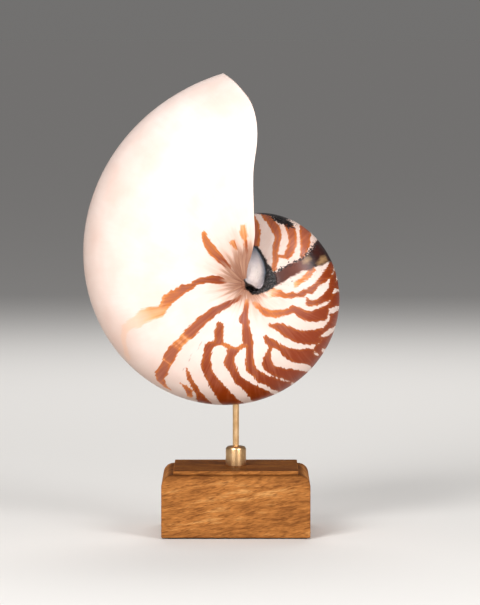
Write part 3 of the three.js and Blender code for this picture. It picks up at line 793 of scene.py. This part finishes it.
def mark_shell(shell):
    """Lays out the markings as attributes, in millimetres from each marking's edge."""
    count = len(shell.data.vertices)
    points = np.empty(count * 3)
    shell.data.vertices.foreach_get("co", points)
    points = points.reshape(-1, 3)
    back, share, radius = place_on_shell(points)
    flank, section_length = place_on_flank(share)
    keel = keel_radius(back) / MM
    per_degree = np.maximum(radius / MM, 1) * math.pi / 180
    per_flank = section_length * keel

    # the far flank has the same flames, drifted by a few degrees and a little stretched
    far = (points[:, 1] > 0) * rise(flank, 0.97, 0.77)
    drift = 3 * np.sin(back / 17) + 2 * np.sin(back / 7 + 1)
    stretch = 0.05 * np.sin(back / 11)
    flank = flank * (1 + far * stretch)
    grid = (back + far * drift, flank, per_degree, per_flank)

    stripe = np.full(count, -FAR_OFF)
    strength = np.zeros(count)
    for rows in FLAMES.values():
        distance = band_distance(rows, *grid)
        flanks, _, _, strengths = np.array(rows, float).T
        strength = np.where(distance > stripe, np.interp(flank, flanks, strengths), strength)
        stripe = np.maximum(stripe, distance)
    for thickness, line in LINKS:
        link = thickness - line_distance(line, *grid)
        strength = np.where(link > stripe, LINK_STRENGTH, strength)
        stripe = np.maximum(stripe, link)
    keel_back, keel_edge = np.array(KEEL_BAND).T
    keel_band = (flank - np.interp(grid[0], keel_back, keel_edge)) * per_flank * KEEL_BAND_LEAN
    strength = np.where(keel_band > stripe, 1, strength)
    stripe = np.maximum(stripe, keel_band)
    for rows in CLEARINGS.values():
        stripe = np.minimum(stripe, -band_distance(rows, *grid))
    film = band_distance(FILM, *grid)
    crust = np.maximum(band_distance(CRUST, *grid), band_distance(FILM_LIP, *grid))
    # the olive patch where the film is worn through, and the fleck of painted highlight on it
    wear_and_highlight = np.maximum(*(band_distance(rows, *grid) for rows in WEAR_AND_HIGHLIGHT.values()))
    crack = line_distance(CRACK, *grid)

    # the umbilicus has a black rim with pearl inside it, and inside the mouth pearl covers the
    # old turn, over a black layer that still pits it
    x = (points[:, 0] - POLE[0]) / MM
    z = (points[:, 2] - POLE[2]) / MM
    on_callus = np.linalg.norm((points - CALLUS_CENTRE) / CALLUS_RADII, axis=1) < 1.01
    inside_coil = (back > 190) | on_callus
    rim = np.where(inside_coil, outline_distance(RIM_OUTLINE, x, z), OUTSIDE)
    pearl = np.where(inside_coil, outline_distance(PEARL_OUTLINE, x, z), OUTSIDE)
    black = np.maximum(rim, np.where(back > 354, 3, OUTSIDE))
    pearl = np.maximum(pearl, (back - 352) * per_degree)

    # the fan ends well before the old turn enters the mouth, and on the callus it covers what
    # lies outside the black rim
    angles, reaches = np.array(FAN_REACH, float).T
    fan = np.interp(back, angles, reaches) - radius / MM
    fan = np.where(back > 280, -9, fan)
    fan = np.where(on_callus, 3 - 4 * rim, fan)

    # painted shade lies on the pearl beside its rim and high in the window, and painted shade
    # darkens the skin towards the keel, low on the last half turn, and evenly on the coil
    shaded = np.maximum(rise(pearl, 2.4, 0) * rise(z, -1, 5), rise(z, 10.5, 18.5))
    painted_shade = rise(flank, 0.5, 0.98) ** 2 * rise(back, 10, 100) * rise(back, 185, 155)
    painted_shade = np.maximum(painted_shade, 0.22 * rise(back, 180, 200))

    # growth lines follow the lip at the mouth, and straighten over a quarter turn
    lip = np.interp(share, *np.array(LIP).T)
    lines = np.stack([back - lip * rise(back, 90, 0), flank, radius / MM], 1)

    laid_out = (stripe, strength, film, wear_and_highlight, black, crust, pearl, fan, shaded, painted_shade, crack)
    for name, value in zip(MARKS, laid_out):
        attribute = shell.data.attributes.new(name, "FLOAT", "POINT")
        value = np.clip(value, -FAR_OFF, FAR_OFF).astype(np.float32)
        attribute.data.foreach_set("value", value)
    attribute = shell.data.attributes.new("growth", "FLOAT_VECTOR", "POINT")
    attribute.data.foreach_set("vector", lines.astype(np.float32).ravel())


# ---- The shell's finish --------------------------------------------------------------------


def porcelain_layer():
    """Outer layer of the shell: white calcite prisms under a thin horny skin, hand polished.

    It is warm white and softly glossy, with fine growth lines, rust-red flames, a brown film
    and a black crust, and a fan of pink-brown folds round the umbilicus.
    """
    material, tree, surface = new_material("shell_polished_porcelain_layer")
    place = add(tree, "ShaderNodeTexCoord", out="Object")
    marks = {}
    for name in MARKS:
        marks[name] = add(tree, "ShaderNodeAttribute", attribute_name=name, out="Fac")
    growth = add(tree, "ShaderNodeAttribute", attribute_name="growth", out="Vector")

    # the patterns, by what they are laid out in, how that is stretched, and their scale: those
    # laid out by growth go by degrees back, place on the flank and millimetres from the axis
    patterns = {}
    for name, start, stretch, scale, detail in (
        ("lines", growth, (0.55, 2.5, 0), 1, 4),  # growth lines, a degree or so wide
        ("teeth", growth, (1.3, 16, 0), 1, 2),  # where growth lines cross a marking's edge
        ("spokes", growth, (0.17, 0, 0.06), 1, 5),  # folds that run out from the axis
        ("clouds", place, (1, 1, 1), 55, 4),  # mottling, about 12 mm across
        ("waves", place, (1, 1, 1), 330, 3),  # the slow wobble of an edge, every 3 mm
        ("specks", place, (1, 1, 1), 1100, 1),
        ("grit", place, (1, 1, 1), 1100, 2),
    ):
        stretched = add(tree, VECTOR, {0: start, 1: stretch}, operation="MULTIPLY")
        patterns[name] = add(tree, NOISE, {"Vector": stretched, "Scale": scale, "Detail": detail})
    patterns["edges"] = add(
        tree, MIX, {0: 0.6, 2: patterns["waves"], 3: patterns["teeth"]}, data_type="FLOAT"
    )

    # what a pattern adds, from its low places to its high ones
    sway = {"none": 0.0}
    for name, pattern, low, high in (
        ("growth_tint", "lines", 0, 0.2),
        ("pigment", "lines", -0.13, 0.13),
        ("wobble", "edges", -0.75, 0.75),  # millimetres, as are the next two
        ("ragged", "grit", -1.6, 1.6),
        ("reach", "spokes", -4, 4),
        ("roughness", "clouds", 0.3, 0.42),
    ):
        span = {"Value": patterns[pattern], "From Min": 0.3, "From Max": 0.7}
        sway[name] = add(tree, RANGE, {**span, "To Min": low, "To Max": high})

    # where each marking covers the skin: its attribute, what sways its edge, the millimetres
    # between which it sets in, and how much of the skin it covers
    cover = {}
    for name, mark, swayed, start, full, most, fade in (
        ("pigmented", "strength", "none", 0, 0.3, 1, "LINEAR"),
        ("halo", "fan", "reach", -11, -1, 0.5, "LINEAR"),
        ("fan", "fan", "reach", -4, 3.5, 0.95, "SMOOTHSTEP"),
        ("film", "film", "wobble", -0.4, 0.4, 1, "LINEAR"),
        ("wear_and_highlight", "wear_and_highlight", "wobble", -0.9, 1.5, 0.75, "LINEAR"),
        ("beside_film", "film", "none", -5, -1, 1, "LINEAR"),
        ("crack", "crack", "none", 0.4, 0.1, 0.5, "LINEAR"),
        ("rim", "black", "wobble", -0.25, 0.25, 1, "LINEAR"),
        ("crust", "crust", "ragged", -0.1, 0.3, 1, "LINEAR"),
        ("pearl", "pearl", "none", -0.3, 0.3, 1, "LINEAR"),
    ):
        edge = add(tree, MATH, {0: marks[mark], 1: sway[swayed]})
        span = {"Value": edge, "From Min": start, "From Max": full, "To Max": most}
        cover[name] = add(tree, RANGE, span, interpolation_type=fade)

    # flames: the palest ones are the softest, and their middles set in further inside
    softness = {"Value": marks["strength"], "From Min": 0.25, "From Max": 0.7, "To Min": 0.3}
    edge = add(tree, MATH, {0: marks["stripe"], 1: sway["wobble"]})
    edge = add(tree, MATH, {0: edge, 1: add(tree, RANGE, softness)}, operation="MULTIPLY")
    for name, start, full in (("flame", -0.45, -0.05), ("core", 0.1, 1.1)):
        span = {"Value": edge, "From Min": start, "From Max": full}
        cover[name] = add(tree, RANGE, span, interpolation_type="SMOOTHSTEP")
    faded = {0: cover["flame"], 1: cover["pigmented"]}
    cover["flame"] = add(tree, MATH, faded, operation="MULTIPLY")
    pigment = add(tree, MATH, {0: marks["strength"], 1: sway["pigment"]})

    # specks that the film left beside it, with the crack, and the rim with the crust
    cover["specks"] = add(
        tree, RANGE, {"Value": patterns["specks"], "From Min": 0.67, "From Max": 0.7, "To Max": 0.8}
    )
    for name, one, operation, other in (
        ("specks", "specks", "MULTIPLY", "beside_film"),
        ("dirt", "specks", "MAXIMUM", "crack"),
        ("black", "rim", "MAXIMUM", "crust"),
    ):
        cover[name] = add(tree, MATH, {0: cover[one], 1: cover[other]}, operation=operation)

    # the film is see-through brown beside the umbilicus and near black towards the keel
    flank = add(tree, SPLIT, {0: growth}, out="Y")
    film_sway = add(tree, RANGE, {"Value": patterns["waves"], "To Min": -0.06, "To Max": 0.06})
    film_flank = add(tree, MATH, {0: flank, 1: film_sway})
    colours = {}
    for name, value, stops in (
        ("white", patterns["clouds"], [(0.3, "efd3c7"), (0.5, "f3ddd3"), (0.7, "f8e7df")]),
        ("flame_rim", pigment, [
            (0.1, "eeb482"), (0.3, "eaaa74"), (0.5, "d07c38"),
            (0.7, "bc6426"), (0.9, "a8540f"), (1.0, "944004"),
        ]),
        ("flame_core", pigment, [
            (0.1, "e8ac80"), (0.3, "e2a274"), (0.5, "c06c3c"),
            (0.7, "a2593f"), (0.9, "924222"), (1.0, "863002"),
        ]),
        ("fan", patterns["spokes"], [(0.32, "93604a"), (0.5, "ab785f"), (0.68, "c3957b")]),
        ("film", film_flank, [
            (0.3, "4a241b"), (0.42, "5c3024"), (0.56, "6c3c30"), (0.63, "502620"),
            (0.68, "240806"), (0.8, "38120a"), (0.95, "220805"),
        ]),
        # the grey in the black's grit is partly its own grit and partly painted glints
        ("black", patterns["grit"], [(0.42, "080504"), (0.56, "1a1312"), (0.72, "4a3e40")]),
        ("pearl", patterns["clouds"], [(0.35, "c8bcc4"), (0.5, "dacdcd"), (0.65, "e4d6cf")]),
    ):
        colours[name] = add(tree, RAMP, {"Fac": value}, stops=stops)

    # each colour in turn is laid over another one: the white skin takes all the markings
    colours["growth_line"] = linear("ecd2c2")
    # painted shade, multiplied over the skin towards the keel and on the coil
    colours["painted_shade"] = linear("cbbdb4")
    colours["halo"] = linear("e9bc9c")
    # pale over the film: worn through in the patch, a painted highlight in the fleck
    colours["wear_and_highlight"] = linear("b08a5e")
    colours["dirt"] = linear("4a3630")
    colours["shaded_pearl"] = linear("566573")
    for under, over, amount, blend in (
        ("flame_rim", "flame_core", cover["core"], "MIX"),
        ("film", "wear_and_highlight", cover["wear_and_highlight"], "MIX"),
        ("pearl", "shaded_pearl", marks["shaded"], "MIX"),
        ("white", "growth_line", sway["growth_tint"], "MIX"),
        ("white", "painted_shade", marks["painted_shade"], "MULTIPLY"),
        ("white", "flame_rim", cover["flame"], "MIX"),
        ("white", "halo", cover["halo"], "MULTIPLY"),
        ("white", "fan", cover["fan"], "MIX"),
        ("white", "film", cover["film"], "MIX"),
        ("white", "dirt", cover["dirt"], "MIX"),
        ("white", "black", cover["black"], "MIX"),
        ("white", "pearl", cover["pearl"], "MIX"),
    ):
        layers = {0: amount, 6: colours[under], 7: colours[over]}
        colours[under] = add(tree, MIX, layers, data_type="RGBA", blend_type=blend, out=2)

    # relief: faint growth lines, the folds of the fan, and the pitted crust
    folds = add(tree, MATH, {0: patterns["spokes"], 1: cover["fan"]}, operation="MULTIPLY")
    pitted = add(tree, MATH, {0: patterns["grit"], 1: cover["black"]}, operation="MULTIPLY")
    relief = {}
    for height, strength, depth in (
        (patterns["lines"], 0.25, 0.3 * MM), (folds, 0.5, 1 * MM), (pitted, 0.8, 0.5 * MM)
    ):
        bump = {"Height": height, "Strength": strength, "Distance": depth, **relief}
        relief = {"Normal": add(tree, BUMP, bump)}
    dull = sway["roughness"]
    for name, roughness in (("black", 0.3), ("pearl", 0.2)):
        dull = add(tree, MIX, {0: cover[name], 2: dull, 3: roughness}, data_type="FLOAT")
    fill(tree, surface, {"Base Color": colours["white"], "Roughness": dull, **relief})
    fill(tree, surface, {"IOR": 1.56, "Specular IOR Level": 0.32})
    return material


def mother_of_pearl():
    """Nacre of the living chamber: smooth, silvery white with faint pink and green clouds."""
    material, tree, surface = new_material("shell_nacre")
    growth = add(tree, "ShaderNodeAttribute", attribute_name="growth", out="Vector")
    # the clouds are long along the growth, and a fraction of the flank wide
    place = add(tree, VECTOR, {0: growth, 1: (0.06, 2, 0)}, operation="MULTIPLY")
    clouds = add(tree, NOISE, {"Vector": place, "Scale": 1, "Detail": 4, "Distortion": 0.8})
    tints = [(0.3, "fff6ee"), (0.42, "fbecea"), (0.52, "f6f3f4"), (0.6, "f1f6ef"), (0.72, "fff8ee")]
    colour = add(tree, RAMP, {"Fac": clouds}, stops=tints)
    span = {"Value": clouds, "From Min": 0.3, "From Max": 0.7, "To Min": 0.32, "To Max": 0.45}
    dull = add(tree, RANGE, span)
    fill(tree, surface, {"Base Color": colour, "Roughness": dull})
    fill(tree, surface, {"IOR": 1.6, "Metallic": 0.08})
    return material


# ---- The stand's finishes ------------------------------------------------------------------


def oiled_hardwood():
    """Oak-like block, planed, sanded and oiled: straight grain along X, short dark pores."""
    material, tree, surface = new_material("oiled_hardwood")
    place = add(tree, "ShaderNodeTexCoord", out="Object")
    # the grain climbs slightly towards +X, and bends by a few millimetres
    climb = (0, math.radians(7), 0)
    place = add(tree, "ShaderNodeMapping", {"Vector": place, "Rotation": climb})
    bend = add(tree, NOISE, {"Vector": place, "Scale": 28, "Detail": 2}, out="Color")
    bend = add(tree, VECTOR, {0: bend, 1: (0.5, 0.5, 0.5)}, operation="SUBTRACT")
    bend = add(tree, VECTOR, {0: bend, 1: (0, 4 * MM, 3.5 * MM)}, operation="MULTIPLY")
    place = add(tree, VECTOR, {0: place, 1: bend})

    # growth rings run round a pith below and behind the block, so they are straight lines on
    # the sides and arcs on the ends
    from_pith = add(tree, VECTOR, {0: place, 1: (0, -30 * MM, 70 * MM)})
    from_pith = add(tree, VECTOR, {0: from_pith, 1: (0, 1, 1)}, operation="MULTIPLY")
    ring_radius = add(tree, VECTOR, {0: from_pith}, operation="LENGTH", out="Value")
    along = add(tree, SPLIT, {0: place}, out=None)
    rings = {"X": along["X"], "Y": along["Y"], "Z": ring_radius}
    rings = add(tree, "ShaderNodeCombineXYZ", rings)

    # pores are steeper than the grain
    steeper = (0, math.radians(8), 0)
    steep_place = add(tree, "ShaderNodeMapping", {"Vector": place, "Rotation": steeper})
    # figure, all long in X: bands 6 mm thick, growth rings 1 mm, fibres 0.5 mm and pores 4 mm
    # long and 0.7 mm thick, the last two drawn coarser than the real ones so that they show
    layers = {}
    for name, start, stretch, scale, detail in (
        ("bands", rings, (0.22, 0.25, 1), 170, 3),
        ("rings", rings, (0.1, 0.12, 1), 900, 3),
        ("fibres", place, (0.2, 1, 1), 1900, 3),
        ("pores", steep_place, (0.16, 0.7, 1), 1400, 1),
    ):
        stretched = add(tree, VECTOR, {0: start, 1: stretch}, operation="MULTIPLY")
        layers[name] = add(tree, NOISE, {"Vector": stretched, "Scale": scale, "Detail": detail})
    figure = {0: 0.55, 2: layers["bands"], 3: layers["rings"]}
    figure = add(tree, MIX, figure, data_type="FLOAT")
    browns = [(0.34, "7c4a24"), (0.45, "99602f"), (0.54, "ad6f38"), (0.66, "c48c52")]
    colour = add(tree, RAMP, {"Fac": figure}, stops=browns)

    facing = add(tree, "ShaderNodeNewGeometry", out="Normal")
    upward = add(tree, SPLIT, {0: facing}, out="Z")
    spans = {}
    for name, value, start, full, low, high in (
        ("fibres", layers["fibres"], 0.3, 0.7, 0.72, 1.2),
        ("pores", layers["pores"], 0.56, 0.7, 0, 0.6),
        ("upward", upward, 0.85, 0.98, 0, 1),
        ("dull", layers["rings"], 0, 1, 0.5, 0.72),
    ):
        span = {"Value": value, "From Min": start, "From Max": full, "To Min": low, "To Max": high}
        spans[name] = add(tree, RANGE, span)
    # the upper faces are painted darker, as shade where the low lights only graze them
    for amount, over, blend in (
        (1, spans["fibres"], "MULTIPLY"),
        (spans["pores"], linear("5e3418"), "MIX"),
        (spans["upward"], linear("b0a48c"), "MULTIPLY"),
    ):
        mixed = {0: amount, 6: colour, 7: over}
        colour = add(tree, MIX, mixed, data_type="RGBA", blend_type=blend, out=2)
    height = add(tree, MATH, {0: layers["fibres"], 1: spans["pores"]}, operation="SUBTRACT")
    relief = add(tree, BUMP, {"Height": height, "Strength": 0.3, "Distance": 0.2 * MM})
    fill(tree, surface, {"Base Color": colour, "Roughness": spans["dull"]})
    fill(tree, surface, {"Normal": relief, "Specular IOR Level": 0.04})
    return material


def turned_brass():
    """Lathe-turned brass, finished with fine emery: satin, with faint rings round the axis."""
    material, tree, surface = new_material("turned_satin_brass")
    place = add(tree, "ShaderNodeTexCoord", out="Object")
    # tool marks: rings 0.15 mm apart, drawn coarser than the real ones so that they show
    rings = add(tree, VECTOR, {0: place, 1: (60, 60, 6000)}, operation="MULTIPLY")
    rings = add(tree, NOISE, {"Vector": rings, "Scale": 1})
    tarnish = add(tree, NOISE, {"Vector": place, "Scale": 240, "Detail": 3})
    golds = [(0.3, "dcac78"), (0.5, "ecc08c"), (0.7, "f4cf9e")]
    colour = add(tree, RAMP, {"Fac": tarnish}, stops=golds)
    dull = add(tree, RANGE, {"Value": rings, "To Min": 0.24, "To Max": 0.42})
    relief = add(tree, BUMP, {"Height": rings, "Strength": 0.2, "Distance": 0.05 * MM})
    fill(tree, surface, {"Base Color": colour, "Metallic": 1})
    fill(tree, surface, {"Roughness": dull, "Normal": relief})
    return material


def zinc_plated_steel():
    """Bright zinc on a stamped washer and nut: bluish grey, with dull cloudy patches."""
    material, tree, surface = new_material("zinc_plated_steel")
    place = add(tree, "ShaderNodeTexCoord", out="Object")
    clouds = add(tree, NOISE, {"Vector": place, "Scale": 500, "Detail": 4})
    colour = add(tree, RAMP, {"Fac": clouds}, stops=[(0.35, "9ea2a4"), (0.6, "c2c5c6")])
    dull = add(tree, RANGE, {"Value": clouds, "To Min": 0.25, "To Max": 0.5})
    fill(tree, surface, {"Base Color": colour, "Metallic": 1, "Roughness": dull})
    return material


def wool_felt():
    """Dark brown pressed wool: matt, with short loose fibres."""
    material, tree, surface = new_material("pressed_wool_felt")
    place = add(tree, "ShaderNodeTexCoord", out="Object")
    # fibres are 0.03 mm thick, drawn at 0.3 mm so that they show
    fibres = {"Vector": place, "Scale": 1600, "Detail": 5, "Distortion": 2}
    fibres = add(tree, NOISE, fibres)
    browns = [(0.3, "1e1512"), (0.5, "31231d"), (0.7, "4a372e")]
    colour = add(tree, RAMP, {"Fac": fibres}, stops=browns)
    relief = add(tree, BUMP, {"Height": fibres, "Strength": 0.6, "Distance": 0.3 * MM})
    fill(tree, surface, {"Base Color": colour, "Roughness": 0.95, "Normal": relief})
    fill(tree, surface, {"Sheen Weight": 0.3, "Sheen Roughness": 0.6})
    return material


# ---- The stand's pieces --------------------------------------------------------------------


ROD_BORE = 1.75 * MM  # radius of the holes that the rod passes through


def square_ring(half, height, corner=0.6 * MM, steps=5):
    """One level of the block: a square with slightly softened corners."""
    middle = half - corner
    ring = []
    for quarter, (x, y) in enumerate(((1, 1), (-1, 1), (-1, -1), (1, -1))):
        for i in range(steps):
            turn = math.radians(90) * (quarter + i / (steps - 1))
            across, along = corner * math.cos(turn), corner * math.sin(turn)
            ring.append((x * middle + across, y * middle + along, height))
    return ring


def make_block(wood):
    """A square block with a quarter-round moulding below a raised plateau, sanded arrises."""
    low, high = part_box("wooden_block")
    half, bottom, top = high[0], low[2], high[2]
    moulding, step, sanded = 6 * MM, 1.7 * MM, 0.35 * MM
    plateau = half - moulding
    shoulder = top - step
    springing = shoulder - moulding
    levels = [(half - sanded, bottom), (half, bottom + sanded), (half, springing)]
    levels += arc((plateau, springing), moulding, 6, 88, 14)
    levels += [(plateau, shoulder + 0.1 * MM)]
    levels += arc((plateau - sanded, top - sanded), sanded, 0, 90, 5)
    vertices = [point for level in levels for point in square_ring(*level)]
    around = len(vertices) // len(levels)
    faces = []
    for i in range(len(levels) - 1):
        for j in range(around):
            a, b = i * around + j, i * around + (j + 1) % around
            faces.append((a, b, b + around, a + around))
    faces.append(tuple(range(around - 1, -1, -1)))
    faces.append(tuple(range(len(vertices) - around, len(vertices))))
    block = new_object("hardwood_block", vertices, faces, wood)
    # the rod's bore right through, and the counterbore for the nut
    under = bottom - 1 * MM
    for radius, over in ((ROD_BORE, top + 1 * MM), (6 * MM, bottom + 8 * MM)):
        profile = [(0, under), (radius, under), (radius, over), (0, over)]
        boolean(block, "DIFFERENCE", outward_faces(turned("bit", profile, wood)))
    finish_piece(smooth(block, 30), "hardwood", "wooden_block")


def make_collar(brass):
    """A drilled collar: straight sides, a rounded shoulder, a flat top and broken edges."""
    low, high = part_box("brass_collar")
    radius, bottom, top = high[0], low[2], high[2]
    top_radius = 3.9 * MM
    profile = [(ROD_BORE, bottom), (radius - 0.15 * MM, bottom), (radius, bottom + 0.15 * MM)]
    profile += [(radius, top - 1.75 * MM)]
    profile += arc((radius - 1.9 * MM, top - 1.9 * MM), 1.9 * MM, 12, 66, 7)
    profile += [(top_radius - 0.1 * MM, top - 0.06 * MM), (top_radius - 0.4 * MM, top)]
    profile += [(ROD_BORE + 0.2 * MM, top), (ROD_BORE, top - 0.2 * MM)]
    collar = outward_faces(turned("turned_collar", profile, brass, rounds=128))
    finish_piece(smooth(collar, 35), "brass", "brass_collar")


def make_rod(brass):
    """The rod, with the thread that the nut holds cut on its lower end."""
    low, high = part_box("brass_rod")
    radius, bottom, top = high[0], low[2], high[2]
    chamfer = 0.3 * MM
    profile = [(0, bottom), (radius - chamfer, bottom)]
    threads, pitch, depth = 12, 0.5 * MM, 0.25 * MM
    for i in range(threads):
        z = bottom + chamfer + i * pitch
        profile += [(radius, z), (radius - depth, z + pitch / 2)]
    profile += [(radius, bottom + chamfer + threads * pitch), (radius, top - chamfer)]
    profile += [(radius - chamfer, top), (0, top)]
    rod = turned("turned_rod", profile, brass, rounds=64)
    work = bmesh.new()
    work.from_mesh(rod.data)
    bmesh.ops.remove_doubles(work, verts=work.verts, dist=1e-7)
    bmesh.ops.dissolve_degenerate(work, edges=work.edges, dist=1e-8)
    work.to_mesh(rod.data)
    work.free()
    outward_faces(rod)
    finish_piece(smooth(rod, 35), "brass", "brass_rod")


def dress_node(name, material):
    """Gives a CAD node that stays as it is its finish."""
    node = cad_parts[name]
    for slot in node.material_slots:
        slot.material = material


# ---- Making it all -------------------------------------------------------------------------

shell = make_shell(porcelain_layer(), mother_of_pearl())
mark_shell(shell)
finish_piece(shell, "shell", "nautilus_shell")

make_block(oiled_hardwood())
brass = turned_brass()
make_collar(brass)
make_rod(brass)
zinc = zinc_plated_steel()
dress_node("rod_washer", zinc)
dress_node("rod_nut", zinc)
dress_node("felt_sheet", wool_felt())
